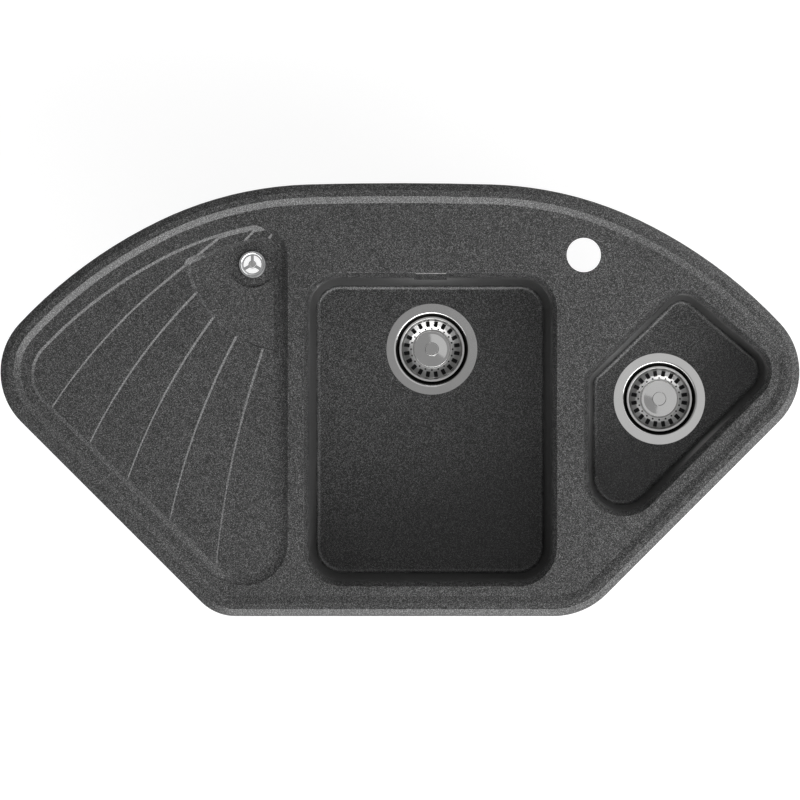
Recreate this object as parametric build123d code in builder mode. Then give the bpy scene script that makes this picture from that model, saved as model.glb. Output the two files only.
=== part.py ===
"""Corner kitchen sink of granite composite: a main bowl, a half bowl and a stepped drainer in one
moulding, with two basket strainers, an overflow, a drainer outlet, a rim seal and fixing clips.

Millimetres, +Z up. The origin is the middle of the outline on the worktop's surface. +Y points into
the room's corner, where the tap stands, and -Y is the user's side.
"""
import math
import os

from build123d import *

os.makedirs("parts", exist_ok=True)

# ---- Outline, seen from above. The right half is a chain of tangent arcs from the middle of the back.
sink_width = 1000.0
sink_depth = 542.0
crown_radius = 4000.0
shoulder_radius = 458.0
shoulder_heading = 25.5
flank_radius = 591.0
flank_heading = 46.9
tip_radius = 88.6
front_heading = 135.0
front_left_radius = 61.0
front_right_radius = 93.0

# ---- Rim and deck. Heights are above the worktop.
edge_height = 3.5
rim_height = 8.5
deck_height = 4.5
bevel_width = 8.8
crest_width = 7.5
inner_slope_width = 8.8
edge_round = 1.5
crest_round = 1.2
deck_round = 1.2
deck_thickness = 8.0
worktop_overlap = 10.0
cutout_clearance = 4.0
seal_inset = 2.5
seal_width = 6.0
seal_depth = 1.5
seal_clearance = 0.2

# ---- Bowls. An opening is measured at the outer edge of its lip, which slopes to the upright wall.
bowl_wall = 8.0
lip_width = 7.0
lip_depth = 9.0
lip_round = 16.0
lip_edge_round = 0.8
floor_radius = 6.0
floor_fall = 1.2
main_left = -120.7
main_right = 196.6
main_back = 159.1
main_front = -233.9
main_back_radius = 45.0
main_front_radius = 49.0
main_draft = 2.4
main_depth = 190.0
half_left = 229.6
half_corner = 31.2
half_slant = 44.0
half_back_slant = 40.2
half_back_gap = 42.3
half_front_gap = 39.4
half_left_radius = 25.0
half_back_radius = 33.0
half_tip_radius = 40.0
half_front_radius = 50.0
half_draft = 3.0
half_depth = 120.0
main_drain = (40.4, 63.7)
half_drain = (326.6, 1.0)

# ---- Tap hole
tap_hole = (230.1, 181.0)
tap_hole_diameter = 43.0

# ---- Drainer: a shallow tray whose treads step down to the right at five curved ribs
tray_gap = 40.0
tray_shift = (-1.5, -3.5)
tray_right = -140.5
tray_front = -232.8
tray_wall_angle = 60.0
tray_back_radius = 41.0
tray_front_radius = 54.0
tray_drop = 2.0
cove_wall_angle = 36.0
cove_radius = 20.0
cove_outset = 0.5
rib_count = 5
rib_fan = ((-294.1, 146.6), (-236.5, 94.6), (-173.9, 55.8))
rib_feet = (0.0, 65.0, 131.0, 205.0, 287.0)
first_foot = (-433.0, -6.8)
rib_bow = 8.0
rib_head_step = 1.6
rib_foot_step = 0.8
rib_face_angle = 62.0
tread_length = 220.0

# ---- Sump of the drainer, with a floor that falls to the outlet
sump_gap = 62.7
sump_slope_width = 7.5
sump_right = (-142.0, -148.0, -158.0)
sump_centre = (-136.1, 190.0)
sump_radius = 137.0
sump_back_radius = 20.0
sump_corner_radius = 5.0
sump_fall = 0.10
sump_rise_heading = 200.0
outlet_place = (-184.8, 169.3)
outlet_floor_depth = 13.5
outlet_pocket_radius = 29.3

# ---- Basket strainers, 3 1/2 inch. Their heights are measured down from the flange's top.
steel_sheet = 1.0
basket_sheet = 0.8
gasket_thickness = 2.0
flange_radius = 57.5
flange_clearance = 0.5
cup_radius = 43.3
cup_lip_radius = 4.0
cup_depth = 25.0
throat_radius = 33.0
throat_depth = 38.0
waste_hole_radius = 45.5
waste_boss_radius = 62.0
waste_boss_depth = 12.0
spoke_count = 3
spoke_width = 5.0
hub_radius = 9.0
screw_radius = 3.0
screw_clearance = 0.3
thread_clearance = 0.05
screw_head_radius = 5.5
screw_head_height = 3.5
screw_length = 23.0
drive_slot_width = 1.2
drive_slot_depth = 1.2
basket_rim_radius = 40.9
basket_rim_depth = 4.0
basket_wall_top = (36.4, 13.4)
basket_wall_foot = (30.0, 17.3)
island_foot = (24.2, 19.8)
island_radius = 22.6
island_depth = 16.6
dome_radius = 19.3
dome_depth = 15.9
basket_slots = 20
slot_inner = 28.4
slot_outer = 35.5
slot_width = 4.8
drip_hole_ring = 26.3
drip_hole_radius = 1.1
knob_radius = 8.8
knob_depth = 9.0
knob_height = 4.0
knob_neck_radius = 6.0
stem_radius = 3.0
running_clearance = 0.05
stem_collar_radius = 6.0
stopper_radius = 37.5
stopper_thickness = 2.2
seat_gap = 0.3
stem_nut_height = 4.0
stem_nut_flats = 10.0
stem_tail = 1.0

# ---- Waste bodies below the bowls, with outlets for 1 1/2 inch waste fittings
waste_wall = 3.0
waste_rim_thickness = 4.0
waste_cup_depth = 44.0
waste_cone_depth = 62.0
waste_end_depth = 92.0
spigot_radius = 23.9
spigot_bore = 20.4
clamp_hub_top = 44.0
clamp_hub_radius = 10.0
clamp_hub_height = 16.0
insert_radius = 5.0
insert_height = 9.0

# ---- Overflow of the main bowl
overflow_x = 38.2
overflow_plate_width = 40.0
overflow_plate_height = 30.0
overflow_plate_top = 3.0
overflow_inset = 0.8
overflow_clearance = 0.5
overflow_ramp = 20.0
overflow_block_width = 54.0
overflow_block_back = 168.0
overflow_block_foot = -42.0
overflow_slot_width = 32.0
overflow_slot_height = 14.0
cover_slot_length = 10.5
cover_slot_height = 3.5
cover_slot_spacing = (18.0, 7.0)
overflow_screw_radius = 2.0
overflow_head_radius = 4.0
housing_depth = 28.0
housing_wall = 2.5
pipe_radius = 12.5
pipe_bore = 10.0
pipe_height = -32.0
elbow_radius = 20.0
hose_wall = 1.4
hose_cuff = 28.0
rib_pitch = 5.0
rib_height = 2.0

# ---- Drainer outlet
rosette_radius = 17.1
rosette_thickness = 3.0
rosette_lip = 2.2
rosette_groove = 0.7
window_radius = 11.3
rosette_hub_radius = 5.0
rosette_spoke_width = 3.8
outlet_gasket_thickness = 1.5
outlet_hole_radius = 15.5
tail_bore = 11.6
tail_radius = 14.5
tail_rim_radius = 22.0
tail_length = 42.0
outlet_screw_radius = 2.5
outlet_screw_head_radius = 4.0

# ---- Fixing clips for a worktop of 38 mm
worktop_thickness = 38.0
clip_inset = 25.0
clip_boss_radius = 8.0
clip_boss_foot = -20.0
clip_width = 16.0
clip_sheet = 2.0
clip_reach = 22.0
clip_screw_radius = 2.5
clip_screw_length = 14.0
clip_screw_flats = 8.0
clip_screw_head_height = 2.5

# ---- Drawing aids
far = 1500.0
tiny = 0.01


def slope(angle):
    """Rise over run of a slope, from its angle in degrees."""
    return math.tan(math.radians(angle))


def heading(angle):
    """Unit vector in the plan, from its angle in degrees."""
    return Vector(math.cos(math.radians(angle)), math.sin(math.radians(angle)))


def write(piece, name):
    """Label a finished piece and write it under its name."""
    piece.label = name
    export_step(piece, f"parts/{name}.step")


# ======================================================================================= outline

def crown_heading():
    """Heading at the end of the crown's arc, which takes up the width that the other arcs leave."""
    sines = [math.sin(math.radians(a)) for a in (shoulder_heading, flank_heading)]
    arcs = shoulder_radius * sines[0] + flank_radius * (sines[1] - sines[0]) + tip_radius * (1 - sines[1])
    return math.degrees(math.asin((sink_width / 2 - arcs) / (crown_radius - shoulder_radius)))


def right_side(inset=0.0):
    """The edges of the outline's right half, from the middle of the back, moved in by an inset."""
    turn = crown_heading()
    back, edge = sink_depth / 2 - inset, -sink_depth / 2 + inset
    with BuildLine(mode=Mode.PRIVATE):
        crown = JernArc((0, back), (1, 0), crown_radius - inset, -turn)
        shoulder = JernArc(crown @ 1, crown % 1, shoulder_radius - inset, turn - shoulder_heading)
        flank = JernArc(shoulder @ 1, shoulder % 1, flank_radius - inset, shoulder_heading - flank_heading)
        tip = JernArc(flank @ 1, flank % 1, tip_radius - inset, flank_heading - front_heading)
        length = ((tip @ 1).Y - edge) / math.sin(math.radians(front_heading))
        diagonal = PolarLine(tip @ 1, length, -front_heading)
        front = Line(diagonal @ 1, (0, edge))
    return [crown, shoulder, flank, tip, diagonal, front]


crown, shoulder, flank, tip, diagonal, front = right_side()


def sink_outline(inset, left_radius=None, right_radius=None):
    """The outline moved in by an inset. Its front corners are sharp if no radius is given."""
    with BuildSketch() as shape:
        with BuildLine():
            add(right_side(inset))
            mirror(about=Plane.YZ)
        make_face()
        if left_radius:
            corners = shape.vertices().group_by(Axis.Y)[0].sort_by(Axis.X)
            fillet(corners[0], left_radius - inset)
            corners = shape.vertices().group_by(Axis.Y)[0].sort_by(Axis.X)
            fillet(corners[-1], right_radius - inset)
    return shape.sketch


def rim_outline(inset):
    """The outline with its front corners rounded, moved in by an inset."""
    return sink_outline(inset, front_left_radius, front_right_radius)


# ======================================================================================== bowls

def meet(point, angle, other_point, other_angle):
    """Where two lines in the plan cross, each given by a point and its heading."""
    along, across = heading(angle), heading(other_angle)
    gap = Vector(*other_point) - Vector(*point)
    reach = (gap.X * across.Y - gap.Y * across.X) / (along.X * across.Y - along.Y * across.X)
    return Vector(*point) + along * reach


def main_opening(inset):
    """The main bowl's opening, moved in by an inset."""
    with BuildSketch() as shape:
        with BuildLine():
            Polyline(
                (main_left, main_front),
                (main_left, main_back),
                (main_right, main_back),
                (main_right, main_front),
                close=True,
            )
        make_face()
        fillet(shape.vertices().group_by(Axis.Y)[-1], main_back_radius)
        fillet(shape.vertices().group_by(Axis.Y)[0], main_front_radius)
        if inset:
            offset(amount=-inset)
    return shape.sketch


def half_opening(inset):
    """The half bowl's opening, whose two right sides follow the outline's flank and diagonal."""
    flank_turn = (half_back_slant - shoulder_heading) / (flank_heading - shoulder_heading)
    back_point = (flank @ flank_turn) - heading(90 - half_back_slant) * half_back_gap
    front_point = (diagonal @ 0) - heading(90 - front_heading) * half_front_gap
    left_line = ((half_left, half_corner), 90)
    slant_line = ((half_left, half_corner), half_slant)
    back_line = ((back_point.X, back_point.Y), -half_back_slant)
    front_line = ((front_point.X, front_point.Y), -front_heading)
    corners = [
        (meet(*left_line, *slant_line), half_left_radius),
        (meet(*slant_line, *back_line), half_back_radius),
        (meet(*back_line, *front_line), half_tip_radius),
        (meet(*front_line, *left_line), half_front_radius),
    ]
    with BuildSketch() as shape:
        with BuildLine():
            Polyline(*[point for point, _ in corners], close=True)
        make_face()
        for point, radius in corners:
            fillet(shape.vertices().sort_by_distance(point)[0], radius)
        if inset:
            offset(amount=-inset)
    return shape.sketch


def bowl_form(opening, inset, draft, drain, floor, edge_radius):
    """A tapered solid from the deck down to a floor that falls to the drain from every side."""
    height = deck_height - floor
    with BuildPart() as form:
        with BuildSketch(Plane.XY.offset(deck_height)):
            add(opening(inset))
        extrude(amount=-height, taper=draft)
        with BuildSketch(Plane((*drain, floor), x_dir=(1, 0, 0), z_dir=(0, -1, 0))):
            with BuildLine():
                Polyline(
                    (0, 0),
                    (waste_boss_radius, 0),
                    (far / 2, (far / 2 - waste_boss_radius) * slope(floor_fall)),
                    (far / 2, height + far * slope(floor_fall)),
                    (0, height + far * slope(floor_fall)),
                    close=True,
                )
            make_face()
        revolve(axis=Axis((*drain, floor), (0, 0, 1)), mode=Mode.INTERSECT)
        low_edges = form.edges().filter_by(
            lambda edge: floor + tiny < edge.center().Z < floor + height / 4
            and abs(edge.tangent_at(0.5).Z) < 0.5
        )
        fillet(low_edges, edge_radius)
    return form.part


def bowl_hollow(opening, draft, drain, floor):
    """The inside of a bowl, with its sloping lip."""
    with BuildPart() as hollow:
        add(bowl_form(opening, lip_width, draft, drain, floor, floor_radius))
        for turn in (0, 2):
            with BuildSketch(Plane.XY.offset(deck_height - turn * lip_depth)):
                add(opening(turn * lip_width))
        loft(ruled=True)
        lip_edges = hollow.edges().filter_by(
            lambda edge: lip_depth / 2 < deck_height - edge.center().Z < 1.5 * lip_depth
            and abs(edge.tangent_at(0.5).Z) < 0.5
        )
        fillet(lip_edges, lip_round)
    return hollow.part


main_floor = deck_height - main_depth
half_floor = deck_height - half_depth
main_hollow = bowl_hollow(main_opening, main_draft, main_drain, main_floor)
half_hollow = bowl_hollow(half_opening, half_draft, half_drain, half_floor)
outer_inset = lip_width - bowl_wall
outer_radius = floor_radius + bowl_wall
main_foot, half_foot = main_floor - bowl_wall, half_floor - bowl_wall
main_shell = bowl_form(main_opening, outer_inset, main_draft, main_drain, main_foot, outer_radius)
half_shell = bowl_form(half_opening, outer_inset, half_draft, half_drain, half_foot, outer_radius)


# ====================================================================================== drainer

def tray_outline(gap, right, front):
    """The drainer's edge with sharp corners: the sink's outline moved in, cut at the right and front."""
    with BuildSketch() as shape:
        with Locations(tray_shift):
            add(sink_outline(gap))
        cut = Pos(right - far / 2, front + far / 2) * Rectangle(far, far, mode=Mode.PRIVATE)
        add(cut, mode=Mode.INTERSECT)
    return shape.sketch


def cove_outline():
    """The drainer's edge with its corners rounded."""
    with BuildSketch() as shape:
        add(tray_outline(tray_gap - cove_outset, tray_right, tray_front))
        fillet(shape.vertices().group_by(Axis.X)[-1].sort_by(Axis.Y)[-1], tray_back_radius)
        fillet(shape.vertices().group_by(Axis.X)[-1].sort_by(Axis.Y)[0], tray_front_radius)
        fillet(shape.vertices().group_by(Axis.Y)[0].sort_by(Axis.X)[0], tray_front_radius)
    return shape.sketch


def tread_plane(number):
    """A tread's plane. It falls from the front left edge of the tray towards the sump."""
    foot_level = deck_height - tray_drop - number * rib_foot_step
    fall = number * (rib_head_step - rib_foot_step) / tread_length
    return Plane((*first_foot, foot_level), x_dir=(1, -1, 0), z_dir=(fall, fall, math.sqrt(2)))


def rib_line(number):
    """Head and foot of a rib, for the foot of its face at the tread below."""
    head = ThreePointArc(*rib_fan, mode=Mode.PRIVATE) @ ((number - 1) / (rib_count - 1))
    foot = Vector(*first_foot) + Vector(1, -1) * rib_feet[number - 1] / math.sqrt(2)
    lean = slope(rib_face_angle)
    head_shift = rib_head_step / 2 * lean
    foot_shift = (number * (rib_head_step - rib_foot_step) + rib_foot_step / 2) * lean
    return head + Vector(head_shift, 0), foot + Vector(foot_shift, 0)


treads = []
for number in range(rib_count + 1):
    with BuildPart() as tread:
        if number:
            head, foot = rib_line(number)
            along = (head - foot).normalized()
            low = deck_height - tray_drop - number * rib_head_step
            with BuildSketch(Plane.XY.offset(low)):
                with BuildLine():
                    face_line = SagittaArc(foot, head, rib_bow)
                    above = Line(head, head + (face_line % 1) * far / 4)
                    below = Line(foot, foot - (face_line % 0) * far / 4)
                    Polyline(above @ 1, (far, far), (far, -far), below @ 1)
                make_face()
            extrude(amount=2 * tray_drop + number * rib_head_step, taper=-rib_face_angle)
        else:
            Box(2 * far, 2 * far, far)
        with BuildSketch(tread_plane(number)):
            Rectangle(4 * far, 4 * far)
        extrude(amount=far, mode=Mode.INTERSECT)
    treads.append(tread.part)

# The right wall and the front curve down to the lowest tread in a cove. The other walls are plain.
tray_depth = tray_drop + (rib_count + 1) * rib_head_step
with BuildPart() as cove:
    with BuildSketch(Plane.XY.offset(deck_height)):
        add(cove_outline())
    extrude(amount=-2 * tray_depth, taper=cove_wall_angle)
    with BuildSketch(tread_plane(rib_count)):
        Rectangle(4 * far, 4 * far)
    extrude(amount=far, mode=Mode.INTERSECT)
    fillet(cove.faces().filter_by(tread_plane(rib_count)).edges(), cove_radius)

with BuildPart() as tray_hollow:
    for reach in (0, tray_gap):
        with BuildSketch(Plane.XY.offset(deck_height)):
            with Locations((reach, -reach)):
                add(tray_outline(tray_gap, 0, -far / 2))
        extrude(amount=-tray_depth, taper=tray_wall_angle)
    add(cove.part, mode=Mode.INTERSECT)
    add(treads[0] + treads[1:], mode=Mode.INTERSECT)


# ========================================================================================= sump

sump_top = deck_height - tray_drop
outlet_floor = deck_height - outlet_floor_depth


def sump_outline(grow, right):
    """The sump in the plan, grown outwards and cut at the right: a piece of disc in the outline."""
    with BuildSketch() as shape:
        with Locations(tray_shift):
            add(sink_outline(sump_gap - grow))
        with Locations(sump_centre):
            Circle(sump_radius - sump_slope_width + grow, mode=Mode.INTERSECT)
        right_cut = Pos(right - far / 2, 0) * Rectangle(far, far, mode=Mode.PRIVATE)
        add(right_cut, mode=Mode.INTERSECT)
        left, back = shape.vertices().sort_by(Axis.X)[0], shape.vertices().sort_by(Axis.Y)[-1]
        fillet(back, sump_back_radius + grow)
        fillet(shape.vertices().sort_by_distance(left)[0], sump_corner_radius + grow)
    return shape.sketch


def sump_plane(share):
    """The sump's floor, which rises away from the outlet, or a plane at a share of its depth."""
    rise = heading(sump_rise_heading) * sump_fall * share
    level = sump_top + share * (outlet_floor - sump_top) - rise.dot(Vector(*outlet_place))
    return Plane((0, 0, level), x_dir=(1, 0, rise.X), z_dir=(-rise.X, -rise.Y, 1))


with BuildPart() as sump_hollow:
    for share, right in zip((0, 0.5, 1), sump_right):
        with BuildSketch(sump_plane(share)):
            add(sump_outline(sump_slope_width * (1 - share), right))
    loft(ruled=True)
    pocket_floor = outlet_floor - sump_fall * outlet_pocket_radius
    with BuildSketch(Plane((*outlet_place, pocket_floor))):
        Circle(outlet_pocket_radius)
    extrude(amount=2 * sump_fall * outlet_pocket_radius)


# ===================================================================================== sink body

body_inset = worktop_overlap + cutout_clearance
deck_underside = deck_height - deck_thickness
tray_underside = deck_height - tray_drop - rib_count * rib_head_step - deck_thickness
sump_underside = pocket_floor - deck_thickness
drains = ((*main_drain, main_floor), (*half_drain, half_floor))
clip_ring = right_side(clip_inset)
clip_stations = ((0, 0.7), (1, 0.75), (2, 0.6), (4, 0.2), (4, 0.75), (5, 0.55))


def clip_planes(level):
    """Planes at the clips, at a level, with their x direction pointing out of the sink."""
    planes = []
    for edge_number, share in clip_stations:
        place, along = clip_ring[edge_number] @ share, clip_ring[edge_number] % share
        for side in (1, -1):
            planes.append(
                Plane((side * place.X, place.Y, level), x_dir=(-side * along.Y, along.X, 0), z_dir=(0, 0, 1))
            )
    return planes


def rim_band(low, low_inset, high, high_inset):
    """A solid between two levels whose outline is moved in by its own inset at each level."""
    with BuildPart() as band:
        with BuildSketch(Plane.XY.offset(low)):
            add(rim_outline(low_inset))
        with BuildSketch(Plane.XY.offset(high)):
            add(rim_outline(high_inset))
        loft(ruled=True)
    return band.part


def upright(y, level, facing):
    """A plane across the overflow that faces the front (-1) or the back (1)."""
    return Plane((overflow_x, y, level), x_dir=(1, 0, 0), z_dir=(0, facing, 0))


def top_edges(part, hollow):
    """The edges of a part where a hollow opens into the deck."""
    mouth = hollow.faces().sort_by(Axis.Z)[-1].edges()
    return [part.edges().sort_by_distance(edge.center())[0] for edge in mouth]


with BuildPart() as sink_body:
    # the rim: an upright edge, a bevel, a flat crest and a slope down to the deck
    with BuildSketch():
        add(rim_outline(0))
    extrude(amount=edge_height)
    add(rim_band(edge_height, 0, rim_height, bevel_width))
    crest_inset = bevel_width + crest_width
    foot_inset = crest_inset + inner_slope_width
    add(rim_band(deck_height, foot_inset, rim_height, crest_inset), mode=Mode.SUBTRACT)
    fillet(sink_body.edges().group_by(Axis.Z)[-1], crest_round)
    foot_edges = sink_body.edges().filter_by_position(Axis.Z, deck_height - tiny, deck_height + tiny)
    fillet(foot_edges, deck_round)
    bevel_edges = sink_body.edges().filter_by_position(Axis.Z, edge_height - tiny, edge_height + tiny)
    fillet(bevel_edges, edge_round)
    # what hangs in the worktop's cut-out: the deck's lower half, the tray, the sump and the bowls
    with BuildSketch():
        add(rim_outline(body_inset))
    extrude(amount=deck_underside)
    with BuildSketch():
        add(tray_outline(tray_gap - deck_thickness, tray_right + deck_thickness, -far / 2))
    extrude(amount=tray_underside)
    with BuildSketch():
        add(sump_outline(sump_slope_width, sump_right[0]))
    extrude(amount=sump_underside)
    add(main_shell)
    add(half_shell)
    for x, y, floor in drains:
        with BuildSketch(Plane((x, y, floor))):
            Circle(waste_boss_radius)
        extrude(amount=-waste_boss_depth)
    with BuildSketch(upright(overflow_block_back, (overflow_block_foot + deck_underside) / 2, -1)):
        Rectangle(overflow_block_width, deck_underside - overflow_block_foot)
    extrude(amount=overflow_block_back - main_back + bowl_wall)
    for plane in clip_planes(clip_boss_foot):
        with BuildSketch(plane):
            Circle(clip_boss_radius)
        extrude(amount=-clip_boss_foot)
    # the hollows
    for hollow in (main_hollow, half_hollow):
        add(hollow, mode=Mode.SUBTRACT)
        fillet(top_edges(sink_body, hollow), lip_edge_round)
    add(tray_hollow.part, mode=Mode.SUBTRACT)
    add(sump_hollow.part, mode=Mode.SUBTRACT)
    for x, y, floor in drains:
        with Locations((x, y, floor)):
            CounterBoreHole(
                waste_hole_radius,
                flange_radius + flange_clearance,
                steel_sheet + gasket_thickness,
                depth=waste_boss_depth,
            )
    with Locations((*tap_hole, deck_height)):
        Hole(tap_hole_diameter / 2, depth=deck_thickness)
    with Locations((*outlet_place, pocket_floor)):
        Hole(outlet_hole_radius, depth=deck_thickness)
    # the overflow: a notch for its plate, with a ramp below, and a slot through to the housing
    notch_back = main_back - overflow_inset
    notch_foot = overflow_plate_top - overflow_plate_height - overflow_clearance
    with BuildSketch(Plane((overflow_x, 0, 0), x_dir=(0, 1, 0), z_dir=(1, 0, 0))):
        with BuildLine():
            Polyline(
                (notch_back, rim_height),
                (notch_back, notch_foot),
                (main_back - 2 * lip_width, notch_foot - overflow_ramp),
                (main_back - 2 * lip_width, rim_height),
                close=True,
            )
        make_face()
    extrude(amount=overflow_plate_width / 2 + overflow_clearance, both=True, mode=Mode.SUBTRACT)
    slot_height = overflow_plate_top - overflow_plate_height / 2
    with BuildSketch(upright(overflow_block_back, slot_height, -1)):
        SlotOverall(overflow_slot_width, overflow_slot_height)
    extrude(amount=overflow_block_back - main_back + lip_width, mode=Mode.SUBTRACT)
    # screw holes for the clips and the groove for the seal
    for plane in clip_planes(clip_boss_foot):
        with Locations(plane):
            Hole(clip_screw_radius + thread_clearance, depth=clip_screw_length)
    with BuildSketch():
        add(rim_outline(seal_inset))
        add(rim_outline(seal_inset + seal_width), mode=Mode.SUBTRACT)
    extrude(amount=seal_depth, mode=Mode.SUBTRACT)
write(sink_body.part, "sink_body")

with BuildPart() as rim_seal:
    with BuildSketch():
        add(rim_outline(seal_inset + seal_clearance))
        add(rim_outline(seal_inset + seal_width - seal_clearance), mode=Mode.SUBTRACT)
    extrude(amount=seal_depth)
write(rim_seal.part, "rim_seal")

# ================================================================================ basket strainers

def sheet_ring(points, radii, sheet):
    """A turned sheet-metal form from the middle line of its sheet, with rounded bends."""
    with BuildPart() as form:
        with BuildSketch(Plane.XZ):
            with BuildLine():
                FilletPolyline(*points, radius=radii)
            trace(line_width=sheet)
        revolve(axis=Axis.Z)
    return form.part


def turned(*points):
    """A solid of revolution about Z from its corner points (radius, height)."""
    with BuildPart() as form:
        with BuildSketch(Plane.XZ):
            with BuildLine():
                Polyline(*points, close=True)
            make_face()
        revolve(axis=Axis.Z)
    return form.part


def ring(inner, outer, bottom, top):
    """A plain ring between two levels."""
    return turned((inner, bottom), (outer, bottom), (outer, top), (inner, top))


def spokes(reach, width, top, height):
    """Straight spokes from the axis, the first one towards +Y, hanging down from a level."""
    with BuildPart() as form:
        with BuildSketch(Plane.XY.offset(top)):
            with PolarLocations(reach / 2, spoke_count, start_angle=90):
                Rectangle(reach, width)
        extrude(amount=-height)
    return form.part


# the flange in the bowl: a cup with a seat for the stopper, a throat and a spider for the screw
half_sheet = steel_sheet / 2
spider_height = 2 * steel_sheet
spider_top = -throat_depth + spider_height
with BuildPart() as strainer_flange:
    flange_line = [
        (flange_radius, -half_sheet),
        (cup_radius + half_sheet, -half_sheet),
        (cup_radius + half_sheet, -cup_depth - half_sheet),
        (throat_radius + half_sheet, -cup_depth - half_sheet),
        (throat_radius + half_sheet, -throat_depth),
    ]
    add(sheet_ring(flange_line, (cup_lip_radius, cup_lip_radius, 2 * steel_sheet), steel_sheet))
    add(spokes(throat_radius + half_sheet, spoke_width, spider_top, spider_height))
    add(ring(0, hub_radius, -throat_depth, spider_top))
    with Locations((0, 0, spider_top)):
        Hole(screw_radius + screw_clearance, depth=spider_height)

# one gasket above the granite's hole and one below it
gasket_outer = flange_radius - flange_clearance
flange_gasket_inner = cup_radius + half_sheet + cup_lip_radius + flange_clearance
flange_gasket = ring(flange_gasket_inner, gasket_outer, -steel_sheet - gasket_thickness, -steel_sheet)
body_top = -waste_boss_depth - gasket_thickness
body_gasket = ring(waste_hole_radius + flange_clearance, gasket_outer, body_top, -waste_boss_depth)

# the screw that pulls the waste body up against the bowl, and the insert that it turns in
with BuildPart() as clamp_screw:
    add(ring(0, screw_head_radius, spider_top, spider_top + screw_head_height))
    fillet(clamp_screw.edges().sort_by(Axis.Z)[-1], steel_sheet)
    add(ring(0, screw_radius, spider_top - screw_length, spider_top))
    with BuildSketch(Plane.XY.offset(spider_top + screw_head_height)):
        Rectangle(2 * screw_head_radius, drive_slot_width)
    extrude(amount=-drive_slot_depth, mode=Mode.SUBTRACT)
hub_foot = -clamp_hub_top - clamp_hub_height
clamp_insert = ring(screw_radius + thread_clearance, insert_radius, hub_foot, hub_foot + insert_height)

# the water's way through a waste body: all of its inside but the hub and the hub's ribs
cup_inner = waste_hole_radius + screw_clearance
cup_outer = cup_inner + waste_wall
with BuildPart() as waste_space:
    waste_bore = turned(
        (0, body_top),
        (cup_inner, body_top),
        (cup_inner, -waste_cup_depth),
        (spigot_bore, -waste_cone_depth),
        (spigot_bore, -waste_end_depth),
        (0, -waste_end_depth),
    )
    add(waste_bore)
    add(spokes(cup_outer, spoke_width, -clamp_hub_top, clamp_hub_height), mode=Mode.SUBTRACT)
    add(ring(0, clamp_hub_radius, hub_foot, -clamp_hub_top), mode=Mode.SUBTRACT)

with BuildPart() as waste_body:
    waste_outside = turned(
        (0, body_top),
        (gasket_outer, body_top),
        (gasket_outer, body_top - waste_rim_thickness),
        (cup_outer, body_top - waste_rim_thickness),
        (cup_outer, -waste_cup_depth),
        (spigot_radius, -waste_cone_depth),
        (spigot_radius, -waste_end_depth),
        (0, -waste_end_depth),
    )
    add(waste_outside)
    add(waste_space.part, mode=Mode.SUBTRACT)
    with Locations((0, 0, -clamp_hub_top)):
        Hole(screw_radius + screw_clearance, depth=clamp_hub_height)
    with Locations((0, 0, hub_foot)):
        Hole(insert_radius, depth=insert_height)

# the basket: a rim, a slotted wall, a foot with small holes and an island with a low dome below the knob
half_gauge = basket_sheet / 2
with BuildPart() as basket:
    basket_line = [
        (basket_rim_radius, -basket_rim_depth - half_gauge),
        (basket_rim_radius - 3 * basket_sheet, -basket_rim_depth - half_gauge),
        (basket_wall_top[0], -basket_wall_top[1]),
        (basket_wall_foot[0], -basket_wall_foot[1]),
        (island_foot[0], -island_foot[1]),
        (island_radius, -island_depth),
        (dome_radius, -island_depth),
        (knob_radius, -dome_depth),
        (stem_radius + running_clearance, -dome_depth),
    ]
    wide, tight = 2 * basket_sheet, basket_sheet
    add(sheet_ring(basket_line, (tight, wide, wide, tight, tight, tight, tight), basket_sheet))
    with BuildSketch():
        with PolarLocations((slot_inner + slot_outer) / 2, basket_slots, start_angle=180 / basket_slots):
            RectangleRounded(slot_outer - slot_inner, slot_width, basket_sheet)
        with PolarLocations(drip_hole_ring, basket_slots):
            Circle(drip_hole_radius)
    extrude(amount=-cup_depth, mode=Mode.SUBTRACT)

# the stem with its knob carries the basket, and the seal and nut below close the drain
stopper_foot = -cup_depth + seat_gap
stopper_top = stopper_foot + stopper_thickness
basket_seal = ring(stem_radius + thread_clearance, stopper_radius, stopper_foot, stopper_top)
with BuildPart() as basket_stem:
    basket_play = half_gauge + running_clearance
    stem_end = stopper_foot - stem_nut_height - stem_tail
    stem_turning = turned(
        (0, -knob_depth),
        (knob_radius, -knob_depth),
        (knob_radius, -knob_depth - knob_height),
        (knob_neck_radius, -knob_depth - knob_height),
        (knob_neck_radius, -dome_depth + basket_play),
        (stem_radius, -dome_depth + basket_play),
        (stem_radius, -dome_depth - basket_play),
        (stem_collar_radius, -dome_depth - basket_play),
        (stem_collar_radius, stopper_top),
        (stem_radius, stopper_top),
        (stem_radius, stem_end),
        (0, stem_end),
    )
    add(stem_turning)
    fillet(basket_stem.edges().sort_by(Axis.Z)[-1], steel_sheet)
with BuildPart() as stem_nut:
    with BuildSketch(Plane.XY.offset(stopper_foot)):
        RegularPolygon(stem_nut_flats / 2, 6, major_radius=False)
        Circle(stem_radius + thread_clearance, mode=Mode.SUBTRACT)
    extrude(amount=-stem_nut_height)

strainer_pieces = {
    "strainer_flange": strainer_flange.part,
    "flange_gasket": flange_gasket,
    "body_gasket": body_gasket,
    "clamp_insert": clamp_insert,
    "clamp_screw": clamp_screw.part,
    "basket": basket.part,
    "basket_stem": basket_stem.part,
    "basket_seal": basket_seal,
    "stem_nut": stem_nut.part,
}
for bowl, drain in zip(("main", "half"), drains):
    for name, piece in strainer_pieces.items():
        write(piece.moved(Location(drain)), f"{bowl}_{name}")
write(waste_body.part.moved(Location(drains[1])), "half_waste_body")


# ======================================================================================= overflow

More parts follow.
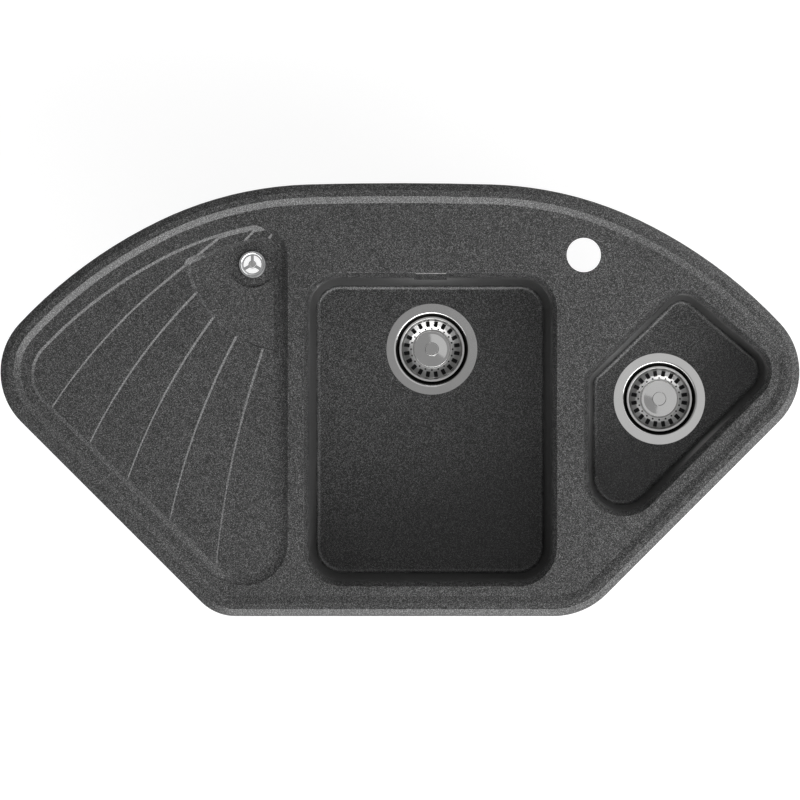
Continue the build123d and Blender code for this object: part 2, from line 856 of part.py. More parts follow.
housing_front = overflow_block_back + gasket_thickness
housing_back = housing_front + housing_depth
pipe_x = main_drain[0]
pipe_y = (housing_front + housing_back) / 2
arm_level = main_floor + pipe_height
arm_top = arm_level + elbow_radius + hose_cuff


def arm_pipe(start, radius):
    """A round bar along the waste body's side arm, from a distance off the drain's axis."""
    with BuildPart() as form:
        with BuildLine():
            FilletPolyline(
                (pipe_x, main_drain[1] + start, arm_level),
                (pipe_x, pipe_y, arm_level),
                (pipe_x, pipe_y, arm_top),
                radius=elbow_radius,
            )
        with BuildSketch(Plane((pipe_x, main_drain[1] + start, arm_level), z_dir=(0, 1, 0))):
            Circle(radius)
        sweep()
    return form.part


with BuildPart() as main_waste_body:
    add(arm_pipe(waste_hole_radius, pipe_radius))
    add(waste_space.part.moved(Location(drains[0])), mode=Mode.SUBTRACT)
    add(waste_body.part.moved(Location(drains[0])))
    add(arm_pipe(clamp_hub_radius + waste_wall, pipe_bore), mode=Mode.SUBTRACT)
write(main_waste_body.part, "main_waste_body")

housing_top = deck_underside - 1
housing_foot = overflow_block_foot
housing_middle = (housing_top + housing_foot) / 2
housing_height = housing_top - housing_foot
housing_width = overflow_block_width - 2 * housing_wall
with BuildPart() as overflow_gasket:
    with BuildSketch(upright(overflow_block_back, housing_middle, 1)):
        RectangleRounded(housing_width, housing_height, 2 * housing_wall)
    extrude(amount=gasket_thickness)
    with BuildSketch(upright(overflow_block_back, slot_height, 1)):
        SlotOverall(overflow_slot_width, overflow_slot_height)
    extrude(amount=gasket_thickness, mode=Mode.SUBTRACT)
write(overflow_gasket.part, "overflow_gasket")

with BuildPart() as overflow_housing:
    with BuildSketch(upright(housing_front, housing_middle, 1)):
        RectangleRounded(housing_width, housing_height, 2 * housing_wall)
    extrude(amount=housing_depth)
    with BuildSketch(Plane((pipe_x, pipe_y, housing_foot + housing_wall))):
        Circle(pipe_radius)
    extrude(amount=-hose_cuff - housing_wall)
    with BuildSketch(upright(housing_front, housing_middle, 1)):
        RectangleRounded(housing_width - 2 * housing_wall, housing_height - 2 * housing_wall, housing_wall)
    extrude(amount=housing_depth - housing_wall, mode=Mode.SUBTRACT)
    with BuildSketch(Plane((pipe_x, pipe_y, housing_middle))):
        Circle(pipe_bore)
    extrude(amount=housing_foot - hose_cuff - housing_middle, mode=Mode.SUBTRACT)
    with BuildSketch(upright(housing_back, slot_height, -1)):
        Circle(overflow_head_radius)
    extrude(amount=housing_depth - housing_wall)
    with BuildSketch(upright(housing_back, slot_height, -1)):
        Circle(overflow_screw_radius + thread_clearance)
    extrude(amount=housing_depth, mode=Mode.SUBTRACT)
write(overflow_housing.part, "overflow_housing")

# the cover in the bowl is held by a countersunk screw that turns in the housing's boss
cover_front = notch_back - steel_sheet
with BuildPart() as overflow_cover:
    with BuildSketch(upright(notch_back, slot_height, -1)):
        RectangleRounded(overflow_plate_width, overflow_plate_height, housing_wall)
        with GridLocations(*cover_slot_spacing, 2, 2):
            SlotOverall(cover_slot_length, cover_slot_height, mode=Mode.SUBTRACT)
    extrude(amount=steel_sheet)
    with BuildSketch(upright(cover_front, slot_height, -1)):
        Circle(overflow_head_radius)
    with BuildSketch(upright(notch_back, slot_height, -1)):
        Circle(overflow_head_radius - steel_sheet)
    loft(mode=Mode.SUBTRACT)
write(overflow_cover.part, "overflow_cover")

with BuildPart() as overflow_screw:
    with BuildSketch(upright(cover_front, slot_height, -1)):
        Circle(overflow_head_radius - thread_clearance)
    with BuildSketch(upright(notch_back, slot_height, -1)):
        Circle(overflow_head_radius - steel_sheet - thread_clearance)
    loft()
    with BuildSketch(upright(notch_back, slot_height, 1)):
        Circle(overflow_screw_radius)
    extrude(amount=housing_back - housing_wall - notch_back)
    with BuildSketch(upright(cover_front, slot_height, 1)):
        Rectangle(2 * overflow_head_radius, drive_slot_width)
    extrude(amount=half_sheet, mode=Mode.SUBTRACT)
write(overflow_screw.part, "overflow_screw")

# the hose: a plain cuff over each spigot and ribs between them
hose_top = housing_foot - 1
hose_foot = arm_level + elbow_radius + 1
hose_bore = pipe_radius + running_clearance
hose_radius = hose_bore + hose_wall
ribbed_length = hose_top - hose_foot - 2 * hose_cuff
hose_ribs = round(ribbed_length / rib_pitch)
rib_step = ribbed_length / hose_ribs
rib_profile = ((0.15, 0), (0.3, rib_height), (0.7, rib_height), (0.85, 0))
with BuildPart() as overflow_hose:
    with BuildSketch(Plane((pipe_x, pipe_y, hose_foot))):
        Circle(hose_radius)
    for number in range(hose_ribs):
        rib_foot = hose_foot + hose_cuff + number * rib_step
        for share, height in rib_profile:
            with BuildSketch(Plane((pipe_x, pipe_y, rib_foot + share * rib_step))):
                Circle(hose_radius + height)
    with BuildSketch(Plane((pipe_x, pipe_y, hose_top))):
        Circle(hose_radius)
    loft(ruled=True)
    with BuildSketch(Plane((pipe_x, pipe_y, hose_foot))):
        Circle(hose_bore)
    extrude(amount=hose_top - hose_foot, mode=Mode.SUBTRACT)
write(overflow_hose.part, "overflow_hose")


# ================================================================================= drainer outlet

# heights are above the underside of the rosette
rosette_place = Location((*outlet_place, pocket_floor + outlet_gasket_thickness))
web_top = rosette_thickness - rosette_groove
with BuildPart() as outlet_rosette:
    rosette_turning = turned(
        (0, 0),
        (rosette_radius, 0),
        (rosette_radius, web_top),
        (rosette_radius - rosette_groove, rosette_thickness),
        (rosette_radius - rosette_lip, rosette_thickness),
        (rosette_radius - rosette_lip - rosette_groove, web_top),
        (0, web_top),
    )
    add(rosette_turning)
    with BuildSketch():
        Circle(window_radius)
        Circle(rosette_hub_radius, mode=Mode.SUBTRACT)
        with PolarLocations(window_radius / 2, spoke_count, start_angle=90):
            Rectangle(window_radius, rosette_spoke_width, mode=Mode.SUBTRACT)
    extrude(amount=web_top, mode=Mode.SUBTRACT)
    with Locations((0, 0, web_top)):
        Hole(outlet_screw_radius + screw_clearance, depth=web_top)
write(outlet_rosette.part.moved(rosette_place), "outlet_rosette")

outlet_gasket = ring(tail_radius, rosette_radius + rosette_groove, -outlet_gasket_thickness, 0)
write(outlet_gasket.moved(rosette_place), "outlet_gasket")

granite_foot = -outlet_gasket_thickness - deck_thickness
rim_top = granite_foot - outlet_gasket_thickness
tail_gasket = ring(outlet_hole_radius, tail_rim_radius, rim_top, granite_foot)
write(tail_gasket.moved(rosette_place), "tail_gasket")

web_foot = -outlet_gasket_thickness - 2 * waste_wall
with BuildPart() as outlet_tail:
    add(ring(tail_bore, tail_rim_radius, rim_top - waste_wall, rim_top))
    add(ring(tail_bore, tail_radius, rim_top - tail_length, -outlet_gasket_thickness))
    add(spokes((tail_bore + tail_radius) / 2, waste_wall, -outlet_gasket_thickness, 2 * waste_wall))
    add(ring(0, rosette_hub_radius, web_foot, -outlet_gasket_thickness))
    with Locations((0, 0, -outlet_gasket_thickness)):
        Hole(outlet_screw_radius + thread_clearance, depth=2 * waste_wall)
write(outlet_tail.part.moved(rosette_place), "outlet_tail")

with BuildPart() as outlet_screw:
    add(ring(0, outlet_screw_head_radius, web_top, web_top + steel_sheet))
    fillet(outlet_screw.edges().sort_by(Axis.Z)[-1], half_sheet)
    add(ring(0, outlet_screw_radius, web_foot, web_top))
    with BuildSketch(Plane.XY.offset(web_top + steel_sheet)):
        with PolarLocations(0, 2, angular_range=180):
            Rectangle(outlet_screw_head_radius + steel_sheet, drive_slot_width)
    extrude(amount=-half_sheet, mode=Mode.SUBTRACT)
write(outlet_screw.part.moved(rosette_place), "outlet_screw")


# ================================================================================== fixing clips

clip_toe = -worktop_thickness - clip_sheet / 2
clip_top = clip_boss_foot - clip_sheet / 2
with BuildPart() as fixing_clips:
    for plane in clip_planes(0):
        across = Plane(plane.origin, x_dir=plane.x_dir, z_dir=plane.x_dir.cross(plane.z_dir))
        with BuildSketch(across):
            with BuildLine():
                FilletPolyline(
                    (-clip_boss_radius, clip_top),
                    (clip_boss_radius, clip_top),
                    (clip_boss_radius + clip_sheet, clip_toe),
                    (clip_reach, clip_toe),
                    radius=clip_sheet,
                )
            trace(line_width=clip_sheet)
        extrude(amount=clip_width / 2, both=True)
    for plane in clip_planes(clip_boss_foot):
        with Locations(plane):
            Hole(clip_screw_radius + screw_clearance, depth=clip_sheet)
write(fixing_clips.part, "fixing_clips")

with BuildPart() as clip_screws:
    for plane in clip_planes(clip_boss_foot - clip_sheet):
        with BuildSketch(plane):
            Circle(clip_screw_radius)
        extrude(amount=clip_screw_length)
        with BuildSketch(plane):
            RegularPolygon(clip_screw_flats / 2, 6, major_radius=False)
        extrude(amount=-clip_screw_head_height)
write(clip_screws.part, "clip_screws")
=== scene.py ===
import math

import bmesh
import bpy
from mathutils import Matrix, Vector

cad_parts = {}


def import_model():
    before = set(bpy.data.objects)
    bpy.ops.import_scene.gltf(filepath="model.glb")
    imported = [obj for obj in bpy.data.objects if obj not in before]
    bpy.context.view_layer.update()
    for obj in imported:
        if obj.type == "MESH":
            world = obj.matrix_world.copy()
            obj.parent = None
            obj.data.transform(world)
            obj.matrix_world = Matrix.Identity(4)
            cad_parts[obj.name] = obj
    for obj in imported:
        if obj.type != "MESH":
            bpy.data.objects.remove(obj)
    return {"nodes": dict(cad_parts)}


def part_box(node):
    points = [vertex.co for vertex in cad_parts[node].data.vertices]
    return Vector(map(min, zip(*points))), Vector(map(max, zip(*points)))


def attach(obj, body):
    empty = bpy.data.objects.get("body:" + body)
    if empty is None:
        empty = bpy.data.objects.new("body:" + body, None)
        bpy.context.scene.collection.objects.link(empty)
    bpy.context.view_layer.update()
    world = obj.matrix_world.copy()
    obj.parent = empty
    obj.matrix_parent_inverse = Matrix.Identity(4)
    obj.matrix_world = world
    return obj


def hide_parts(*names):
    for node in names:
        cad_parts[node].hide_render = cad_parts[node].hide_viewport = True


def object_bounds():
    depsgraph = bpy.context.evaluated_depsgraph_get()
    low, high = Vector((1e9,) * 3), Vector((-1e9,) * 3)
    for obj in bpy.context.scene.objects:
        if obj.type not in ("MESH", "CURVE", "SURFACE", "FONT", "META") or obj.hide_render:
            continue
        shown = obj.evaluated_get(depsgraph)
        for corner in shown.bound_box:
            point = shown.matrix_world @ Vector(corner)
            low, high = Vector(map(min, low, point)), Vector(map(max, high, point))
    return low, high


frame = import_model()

cad_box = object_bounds()
nodes = frame["nodes"]

# ---------------------------------------------------------------- sizes, in metres
VIEW_WIDTH = 1.0013
CAMERA_DISTANCE = 20.0
CAMERA_PLACE = (0.0001, -0.0005)
SENSOR = 36.0
FLOOR_Z = cad_box[0].z - 0.0005
FLOOR_HALF = 12.0
GRAINS_PER_METRE = 1250.0
CHIPS_PER_METRE = 2300.0

HOSE_CUFF = 0.028
HOSE_RIB_PITCH = 0.005
HOSE_RIB_HEIGHT = 0.002
HOSE_WALL = 0.0014
HOSE_BEAD = ((0.0, 0.0008), (0.0004, 0.0013), (0.0022, 0.0013), (0.003, 0.0))
HOSE_BEAD_GAP = 0.002

SPIGOT_THREAD = {"radius": 0.0239, "length": 0.023, "pitch": 0.0026, "depth": 0.0011}
TAIL_THREAD = {"radius": 0.0145, "length": 0.031, "pitch": 0.0022, "depth": 0.0009}
THREAD_START = 0.001
THREAD_ROOT = -0.2

ROSETTE_GROOVE = 0.0007
ROSETTE_BEND_FOOT = 0.0119
ROSETTE_BEND_RADIUS = 0.004
ROSETTE_BEND_TURN = math.radians(34.0)

# ---------------------------------------------------------------- light levels, where 1 is white
AMBIENT = 0.20
ROOM = 0.33
FLOOR_TONE = 0.34
FLOOR_GLOW = 0.86
LAMP_DISTANCE = 3.0


# ---------------------------------------------------------------- node helpers
class Nodes:
    """A material's node tree with short calls for making and joining nodes."""

    def __init__(self, name):
        self.material = bpy.data.materials.new(name)
        self.material.use_nodes = True
        self.tree = self.material.node_tree
        self.tree.nodes.clear()
        self.output = self.add("ShaderNodeOutputMaterial")
        self.shader = self.add("ShaderNodeBsdfPrincipled")
        self.link(self.shader.outputs["BSDF"], self.output.inputs["Surface"])
        self.place = self.add("ShaderNodeTexCoord")

    def add(self, kind, **settings):
        node = self.tree.nodes.new(kind)
        for key, value in settings.items():
            setattr(node, key, value)
        return node

    def link(self, source, target):
        self.tree.links.new(source, target)

    def set(self, **values):
        for key, value in values.items():
            self.shader.inputs[key.replace("_", " ")].default_value = value

    def noise(self, scale, detail=3.0, roughness=0.5, stretch=None):
        node = self.add("ShaderNodeTexNoise")
        node.inputs["Scale"].default_value = scale
        node.inputs["Detail"].default_value = detail
        node.inputs["Roughness"].default_value = roughness
        source = self.place.outputs["Object"]
        if stretch:
            mapping = self.add("ShaderNodeMapping")
            mapping.inputs["Scale"].default_value = stretch
            self.link(source, mapping.inputs["Vector"])
            source = mapping.outputs["Vector"]
        self.link(source, node.inputs["Vector"])
        return node.outputs["Fac"]

    def cell_value(self, scale):
        """One random level for each cell of about 1 / scale metres."""
        cells = self.add("ShaderNodeTexVoronoi")
        cells.inputs["Scale"].default_value = scale
        self.link(self.place.outputs["Object"], cells.inputs["Vector"])
        split = self.add("ShaderNodeSeparateColor")
        self.link(cells.outputs["Color"], split.inputs[0])
        return split.outputs[0]

    def from_middle(self):
        """The distance from the piece's upright middle line, as a share of the piece's width."""
        middle = self.add("ShaderNodeVectorMath", operation="SUBTRACT")
        self.link(self.place.outputs["Generated"], middle.inputs[0])
        middle.inputs[1].default_value = (0.5, 0.5, 0.0)
        flat = self.add("ShaderNodeVectorMath", operation="MULTIPLY")
        flat.inputs[1].default_value = (1.0, 1.0, 0.0)
        self.link(middle.outputs[0], flat.inputs[0])
        length = self.add("ShaderNodeVectorMath", operation="LENGTH")
        self.link(flat.outputs[0], length.inputs[0])
        return length.outputs["Value"]

    def grey(self, value):
        node = self.add("ShaderNodeCombineColor")
        for socket in node.inputs[:3]:
            self.link(value, socket)
        return node.outputs[0]

    def math(self, operation, a, b=0.0):
        node = self.add("ShaderNodeMath", operation=operation)
        for socket, value in zip(node.inputs, (a, b)):
            if isinstance(value, (int, float)):
                socket.default_value = value
            else:
                self.link(value, socket)
        return node.outputs["Value"]

    def spread(self, value, low, high, from_low=0.0, from_high=1.0):
        node = self.add("ShaderNodeMapRange")
        self.link(value, node.inputs["Value"])
        node.inputs["From Min"].default_value = from_low
        node.inputs["From Max"].default_value = from_high
        node.inputs["To Min"].default_value = low
        node.inputs["To Max"].default_value = high
        return node.outputs["Result"]

    def ramp(self, value, *stops):
        node = self.add("ShaderNodeValToRGB")
        elements = node.color_ramp.elements
        while len(elements) < len(stops):
            elements.new(0.5)
        for element, (position, color) in zip(elements, stops):
            element.position = position
            element.color = (*color, 1.0)
        self.link(value, node.inputs["Fac"])
        return node.outputs["Color"]

    def mix(self, share, a, b, blend="MIX"):
        node = self.add("ShaderNodeMix", data_type="RGBA", blend_type=blend)
        sockets = [s for s in node.inputs if s.enabled]
        for socket, value in zip(sockets, (share, a, b)):
            if isinstance(value, (int, float)):
                socket.default_value = value
            elif isinstance(value, tuple):
                socket.default_value = (*value, 1.0)
            else:
                self.link(value, socket)
        return [s for s in node.outputs if s.enabled][0]

    def bump(self, height, distance, below=None):
        node = self.add("ShaderNodeBump")
        node.inputs["Distance"].default_value = distance
        node.inputs["Strength"].default_value = 1.0
        self.link(height, node.inputs["Height"])
        if below is not None:
            self.link(below, node.inputs["Normal"])
        self.link(node.outputs["Normal"], self.shader.inputs["Normal"])
        return node.outputs["Normal"]

    def color(self, value):
        self.link(value, self.shader.inputs["Base Color"])

    def rough(self, value):
        self.link(value, self.shader.inputs["Roughness"])


def gray(value):
    return (value, value, value)


def scaled(tone, factor):
    return tuple(min(1.0, factor * c) for c in tone)


# ---------------------------------------------------------------- materials
STEEL = (0.715, 0.712, 0.706)


def composite():
    """Moulded granite composite: dark binder with quartz grains of about a millimetre."""
    n = Nodes("granite_composite")
    grain = n.cell_value(GRAINS_PER_METRE)
    chips = n.cell_value(CHIPS_PER_METRE)
    broad = n.noise(9.0, 3.0, 0.5)
    mixed = n.math("ADD", n.math("MULTIPLY", grain, 0.66), n.math("MULTIPLY", chips, 0.34))
    tone = n.ramp(
        mixed,
        (0.16, gray(0.003)),
        (0.44, gray(0.019)),
        (0.64, gray(0.063)),
        (0.88, gray(0.240)),
    )
    n.color(n.mix(1.0, tone, n.grey(n.spread(broad, 0.93, 1.07, 0.3, 0.7)), "MULTIPLY"))
    n.rough(n.spread(grain, 0.28, 0.43))
    dimples = n.bump(n.noise(420.0, 2.0, 0.5), 0.000018)
    n.bump(chips, 0.000006, below=dimples)
    n.set(Specular_IOR_Level=0.6)
    return n.material


def steel(name, low, high, depth, is_turned=True, painted_shade_share=0.0, satin=0.0):
    """Stainless steel: polished, with fine lines that run round it or along it, and faint smears.

    A turned piece gets painted shade, near black and rougher, within the given share of its width,
    for the shade in a drain's cup, and is satin outside the given share, as the pressed wall round a
    basket's polished middle is.
    """
    n = Nodes(name)
    smears = n.noise(60.0, 4.0, 0.6)
    if is_turned:
        length = n.from_middle()
        line = n.add("ShaderNodeTexNoise", noise_dimensions="1D")
        line.inputs["Scale"].default_value = 260.0
        line.inputs["Detail"].default_value = 3.0
        n.link(length, line.inputs["W"])
        scratches = line.outputs["Fac"]
    else:
        scratches = n.noise(900.0, 2.0, 0.6, stretch=(1.0, 0.06, 1.0))
    specks = n.noise(2400.0, 2.0, 0.6)
    level = n.math("ADD", n.math("MULTIPLY", smears, 0.3), n.math("MULTIPLY", scratches, 0.3))
    level = n.math("ADD", level, n.math("MULTIPLY", specks, 0.4))
    color = n.ramp(level, (0.3, scaled(STEEL, 0.94)), (0.7, scaled(STEEL, 1.06)))
    rough = n.spread(level, low, high, 0.3, 0.7)
    # Painted shade: near-black colour and extra roughness within the share, standing for the shade deep
    # in a drain's cup.
    if painted_shade_share:
        share = n.math("ADD", length, n.math("MULTIPLY", smears, 0.004))
        outside_painted_shade = n.spread(share, 0.0, 1.0, painted_shade_share, painted_shade_share + 0.008)
        color = n.mix(outside_painted_shade, (0.045, 0.044, 0.042), color)
        rough = n.math("ADD", rough, n.spread(outside_painted_shade, 0.35, 0.0))
    if satin:
        rough = n.math("ADD", rough, n.spread(length, 0.0, 0.25, satin, satin + 0.006))
    n.color(color)
    n.rough(rough)
    n.bump(scratches, depth)
    n.set(Metallic=1.0)
    return n.material


def chrome():
    """Polished chrome plate with faint smears."""
    n = Nodes("polished_chrome")
    smears = n.noise(90.0, 3.0, 0.5)
    n.color(n.ramp(smears, (0.3, (0.76, 0.765, 0.77)), (0.7, (0.86, 0.865, 0.87))))
    n.rough(n.spread(smears, 0.03, 0.10, 0.3, 0.7))
    n.bump(n.noise(700.0, 2.0), 0.000002)
    n.set(Metallic=1.0)
    return n.material


def moulded(name, tone, low, high, grain=1400.0, depth=0.00003, level=0.5):
    """Moulded plastic or rubber with a fine spark-eroded grain and faint flow marks."""
    n = Nodes(name)
    flow = n.noise(28.0, 4.0, 0.55)
    n.color(n.ramp(flow, (0.25, scaled(tone, 0.82)), (0.75, scaled(tone, 1.15))))
    fine = n.noise(grain, 2.0, 0.6)
    n.rough(n.spread(fine, low, high, 0.3, 0.7))
    n.bump(fine, depth)
    n.set(Specular_IOR_Level=level)
    return n.material


def brass():
    """Turned brass with faint smears."""
    n = Nodes("turned_brass")
    smears = n.noise(200.0, 3.0, 0.6)
    n.color(n.ramp(smears, (0.3, (0.52, 0.37, 0.15)), (0.7, (0.72, 0.54, 0.26))))
    n.rough(n.spread(smears, 0.22, 0.38, 0.3, 0.7))
    n.bump(n.noise(1800.0, 2.0, stretch=(0.1, 0.1, 1.0)), 0.000015)
    n.set(Metallic=1.0)
    return n.material


COMPOSITE = composite()
# The flange's middle, its cup, gets painted shade.
FLANGE = steel("turned_steel", 0.05, 0.12, 0.000004, painted_shade_share=0.394)
SHEET = steel("satin_steel", 0.18, 0.32, 0.000012, is_turned=False)
POLISHED = steel("polished_steel", 0.04, 0.10, 0.000002)
BASKET = steel("basket_steel", 0.04, 0.10, 0.000002, satin=0.276)
CHROME = chrome()
RUBBER = moulded("black_rubber", (0.022, 0.022, 0.023), 0.55, 0.75, 900.0, 0.00004)
FOAM = moulded("seal_foam", (0.07, 0.07, 0.072), 0.8, 0.95, 1600.0, 0.00012, 0.2)
BLACK = moulded("black_polypropylene", (0.028, 0.028, 0.030), 0.38, 0.55)
GREY = moulded("grey_polypropylene", (0.36, 0.37, 0.38), 0.35, 0.5)
BRASS = brass()

FINISHES = {
    "sink_body": COMPOSITE,
    "rim_seal": FOAM,
    "fixing_clips": SHEET,
    "clip_screws": SHEET,
    "overflow_cover": SHEET,
    "overflow_screw": SHEET,
    "overflow_gasket": RUBBER,
    "overflow_housing": BLACK,
    "overflow_hose": GREY,
    "outlet_rosette": CHROME,
    "outlet_screw": SHEET,
    "outlet_gasket": RUBBER,
    "tail_gasket": RUBBER,
    "outlet_tail": BLACK,
}
for bowl in ("main", "half"):
    FINISHES.update({
        f"{bowl}_strainer_flange": FLANGE,
        f"{bowl}_flange_gasket": RUBBER,
        f"{bowl}_body_gasket": RUBBER,
        f"{bowl}_waste_body": BLACK,
        f"{bowl}_clamp_insert": BRASS,
        f"{bowl}_clamp_screw": SHEET,
        f"{bowl}_basket": BASKET,
        f"{bowl}_basket_stem": POLISHED,
        f"{bowl}_basket_seal": RUBBER,
        f"{bowl}_stem_nut": SHEET,
    })
for name, node in nodes.items():
    for slot in node.material_slots:
        slot.link = "DATA"
        slot.material = FINISHES[name]


# ---------------------------------------------------------------- pieces
def body_mesh(name, verts, faces, material, body, smooth_angle=40.0):
    """A closed piece of the object from its corners and faces."""
    mesh = bpy.data.meshes.new(name)
    mesh.from_pydata(verts, [], faces)
    shape = bmesh.new()
    shape.from_mesh(mesh)
    bmesh.ops.recalc_face_normals(shape, faces=shape.faces)
    shape.to_mesh(mesh)
    shape.free()
    mesh.materials.append(material)
    mesh.shade_smooth()
    mesh.set_sharp_from_angle(angle=math.radians(smooth_angle))
    piece = bpy.data.objects.new(name, mesh)
    bpy.context.scene.collection.objects.link(piece)
    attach(piece, body)
    return piece


def turned(name, axis, outline, material, body, steps=72):
    """A piece turned about an upright axis from a closed outline of (radius, height) points."""
    count = len(outline)
    verts, faces = [], []
    for step in range(steps):
        a = 2 * math.pi * step / steps
        verts += [(axis[0] + r * math.cos(a), axis[1] + r * math.sin(a), z) for r, z in outline]
    for step in range(steps):
        here, there = step * count, (step + 1) % steps * count
        for i in range(count):
            j = (i + 1) % count
            faces.append((here + i, here + j, there + j, there + i))
    return body_mesh(name, verts, faces, material, body)


def thread(name, axis, low, radius, length, pitch, depth, steps=48):
    """A thread's ridge that winds up a plastic spout from near its foot and runs out at both ends."""
    foot = low + THREAD_START
    turns = length / pitch - 1
    count = int(steps * turns)
    profile = ((THREAD_ROOT, -0.42), (1.0, -0.12), (1.0, 0.12), (THREAD_ROOT, 0.42))
    verts, faces = [], []
    for step in range(count + 1):
        a = 2 * math.pi * step / steps
        run_out = min(1.0, step / steps * 2, (count - step) / steps * 2)
        z = foot + pitch * (0.5 + step / steps)
        for rise, along in profile:
            r = radius + depth * (rise if rise < 0 else rise * max(run_out, 0.05))
            verts.append((axis[0] + r * math.cos(a), axis[1] + r * math.sin(a), z + along * pitch))
    for step in range(count):
        here, there = step * 4, (step + 1) * 4
        for i in range(4):
            j = (i + 1) % 4
            faces.append((here + i, here + j, there + j, there + i))
    faces.append((3, 2, 1, 0))
    faces.append(tuple(count * 4 + i for i in range(4)))
    return body_mesh(name, verts, faces, BLACK, "sink", 30.0)


def middle_of(node):
    low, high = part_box(node)
    return ((low[0] + high[0]) / 2, (low[1] + high[1]) / 2)


def rosette_fillet():
    """The polished hollow bend between the rosette's web and its raised lip."""
    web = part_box("outlet_rosette")[1][2] - ROSETTE_GROOVE
    arc = []
    for i in range(9):
        a = ROSETTE_BEND_TURN * i / 8
        arc.append((ROSETTE_BEND_FOOT + ROSETTE_BEND_RADIUS * math.sin(a),
                    web + ROSETTE_BEND_RADIUS * (1 - math.cos(a))))
    base = web - 0.0003
    outline = [(arc[-1][0], base), (ROSETTE_BEND_FOOT, base)] + arc
    turned("rosette_fillet", middle_of("outlet_rosette"), outline, CHROME, "sink")


def ribbed_hose():
    """The overflow hose: a smooth cuff with a bead over each spigot, and rounded ribs between them."""
    low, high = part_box("overflow_hose")
    foot, top = low[2], high[2]
    crest = (high[0] - low[0]) / 2
    valley = crest - HOSE_RIB_HEIGHT
    bore = valley - HOSE_WALL
    ribs = round((top - foot - 2 * HOSE_CUFF) / HOSE_RIB_PITCH)
    pitch = (top - foot - 2 * HOSE_CUFF) / ribs
    outside = [(valley + out, foot + up) for up, out in HOSE_BEAD]
    outside += [(valley, foot + HOSE_CUFF - HOSE_BEAD_GAP)]
    for rib in range(ribs):
        start = foot + HOSE_CUFF + rib * pitch
        for share in (0.0, 0.12, 0.2, 0.27, 0.36, 0.5, 0.64, 0.73, 0.8, 0.88):
            rise = max(0.0, math.sin(math.pi * (share - 0.1) / 0.8)) ** 0.6 if 0.1 < share < 0.9 else 0.0
            outside.append((valley + rise * (crest - valley), start + share * pitch))
    outside += [(valley, top - HOSE_CUFF + HOSE_BEAD_GAP)]
    outside += [(valley + out, top - up) for up, out in reversed(HOSE_BEAD)]
    inside = [(bore, top), (bore, foot)]
    outline = outside + inside
    hose = turned("ribbed_hose", middle_of("overflow_hose"), outline, GREY, "sink")
    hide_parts("overflow_hose")


ribbed_hose()
rosette_fillet()
for bowl in ("main", "half"):
    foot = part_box(f"{bowl}_waste_body")[0][2]
    thread(f"{bowl}_spigot_thread", middle_of(f"{bowl}_basket_stem"), foot, **SPIGOT_THREAD)
thread("outlet_tail_thread", middle_of("outlet_tail"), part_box("outlet_tail")[0][2], **TAIL_THREAD)


# ---------------------------------------------------------------- floor, world, lamps, camera
def floor():
    """A white floor that keeps the sink's shadow and can be looked through from below."""
    mesh = bpy.data.meshes.new("floor")
    corners = [(x * FLOOR_HALF, y * FLOOR_HALF, 0) for x, y in ((-1, -1), (1, -1), (1, 1), (-1, 1))]
    mesh.from_pydata(corners, [], [(0, 1, 2, 3)])
    plane = bpy.data.objects.new("floor", mesh)
    plane.location.z = FLOOR_Z
    bpy.context.scene.collection.objects.link(plane)
    n = Nodes("floor_white")
    n.set(Base_Color=(*gray(FLOOR_TONE), 1.0), Roughness=0.9, Specular_IOR_Level=0.1)
    glow = n.add("ShaderNodeEmission")
    glow.inputs["Color"].default_value = (1, 1, 1, 1)
    path = n.add("ShaderNodeLightPath")
    seen = n.math("MAXIMUM", path.outputs["Is Camera Ray"], path.outputs["Is Glossy Ray"])
    seen = n.math("MAXIMUM", seen, path.outputs["Is Transmission Ray"])
    n.link(n.math("MULTIPLY", seen, FLOOR_GLOW), glow.inputs["Strength"])
    both = n.add("ShaderNodeAddShader")
    n.link(n.shader.outputs[0], both.inputs[0])
    n.link(glow.outputs[0], both.inputs[1])
    clear = n.add("ShaderNodeBsdfTransparent")
    geometry = n.add("ShaderNodeNewGeometry")
    sides = n.add("ShaderNodeMixShader")
    n.link(geometry.outputs["Backfacing"], sides.inputs[0])
    n.link(both.outputs[0], sides.inputs[1])
    n.link(clear.outputs[0], sides.inputs[2])
    n.link(sides.outputs[0], n.output.inputs["Surface"])
    mesh.materials.append(n.material)


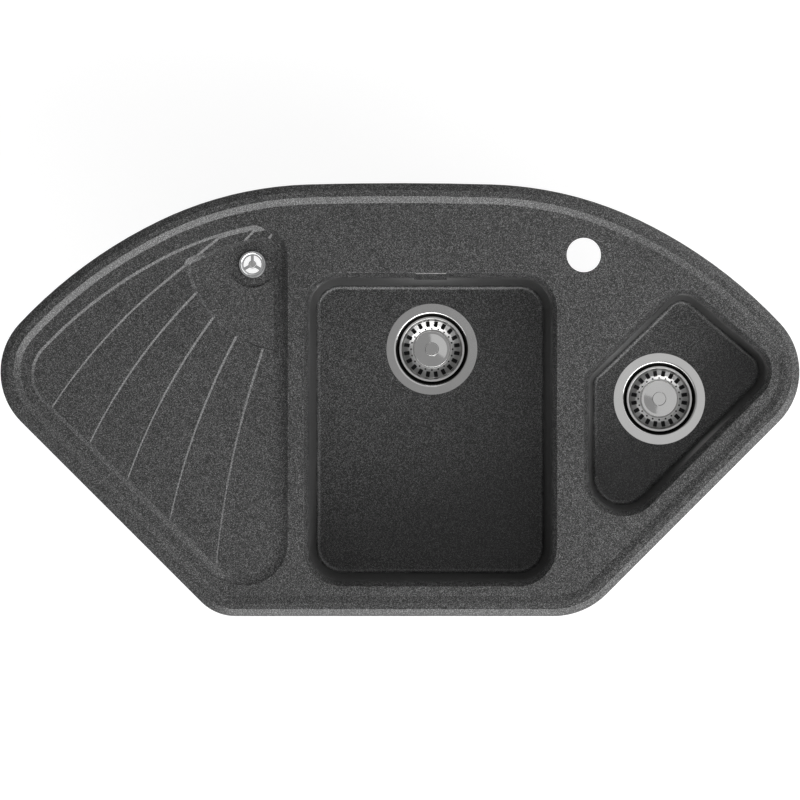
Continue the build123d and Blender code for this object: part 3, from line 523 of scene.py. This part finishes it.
def world():
    """A plain grey room. What the camera and the metal see of it is a little paler than its light."""
    scene_world = bpy.data.worlds.new("studio")
    bpy.context.scene.world = scene_world
    scene_world.use_nodes = True
    tree = scene_world.node_tree
    tree.nodes.clear()
    out = tree.nodes.new("ShaderNodeOutputWorld")
    path = tree.nodes.new("ShaderNodeLightPath")
    room = tree.nodes.new("ShaderNodeBackground")
    room.inputs["Color"].default_value = (1, 1, 1, 1)
    level = path.outputs["Is Camera Ray"]
    for kind in ("Is Glossy Ray", "Is Transmission Ray"):
        largest = tree.nodes.new("ShaderNodeMath")
        largest.operation = "MAXIMUM"
        tree.links.new(level, largest.inputs[0])
        tree.links.new(path.outputs[kind], largest.inputs[1])
        level = largest.outputs[0]
    strength = tree.nodes.new("ShaderNodeMapRange")
    strength.inputs["To Min"].default_value = AMBIENT
    strength.inputs["To Max"].default_value = ROOM
    tree.links.new(level, strength.inputs["Value"])
    tree.links.new(strength.outputs["Result"], room.inputs["Strength"])
    tree.links.new(room.outputs[0], out.inputs["Surface"])


def softbox(name, place, width, height, level):
    """A rectangular softbox that shines at the sink. Its level is its brightness, where 1 is white."""
    data = bpy.data.lights.new(name, "AREA")
    data.shape = "RECTANGLE"
    data.size = width
    data.size_y = height
    data.energy = level * math.pi * width * height
    box = bpy.data.objects.new(name, data)
    box.location = place
    box.rotation_mode = "QUATERNION"
    box.rotation_quaternion = Vector(place).to_track_quat("Z", "Y")
    box.visible_camera = False
    bpy.context.scene.collection.objects.link(box)
    return box


def direction(azimuth, elevation):
    """The direction from the sink to a lamp. Azimuth 0 is at the front, 90 at the right."""
    a, e = math.radians(azimuth), math.radians(elevation)
    return Vector((math.sin(a) * math.cos(e), -math.cos(a) * math.cos(e), math.sin(e)))


def ceiling_panel():
    """A level panel over the sink's right part, whose straight edge shows in the polished baskets."""
    height, edge, size = 1.26, 0.159, 2.4
    turn = math.radians(31.0)
    reach = edge + size / 2
    panel = softbox("ceiling", (math.cos(turn) * reach, math.sin(turn) * reach, height), size, size, 0.29)
    panel.rotation_mode = "XYZ"
    panel.rotation_euler = (0, 0, turn)


floor()
world()
softbox("key", direction(30.0, 41.0) * LAMP_DISTANCE, 5.0, 1.4, 4.9)
softbox("left_fill", direction(-42.0, 43.0) * LAMP_DISTANCE, 2.0, 1.0, 1.4)
softbox("side_fill", direction(125.0, 25.0) * LAMP_DISTANCE, 3.5, 1.4, 1.3)
ceiling_panel()

camera_data = bpy.data.cameras.new("camera")
camera_data.sensor_width = SENSOR
camera_data.lens = SENSOR * CAMERA_DISTANCE / VIEW_WIDTH
camera_data.clip_end = 100.0
camera = bpy.data.objects.new("camera", camera_data)
camera.location = (*CAMERA_PLACE, CAMERA_DISTANCE)
bpy.context.scene.collection.objects.link(camera)
bpy.context.scene.camera = camera
bpy.context.scene.view_settings.view_transform = "Standard"
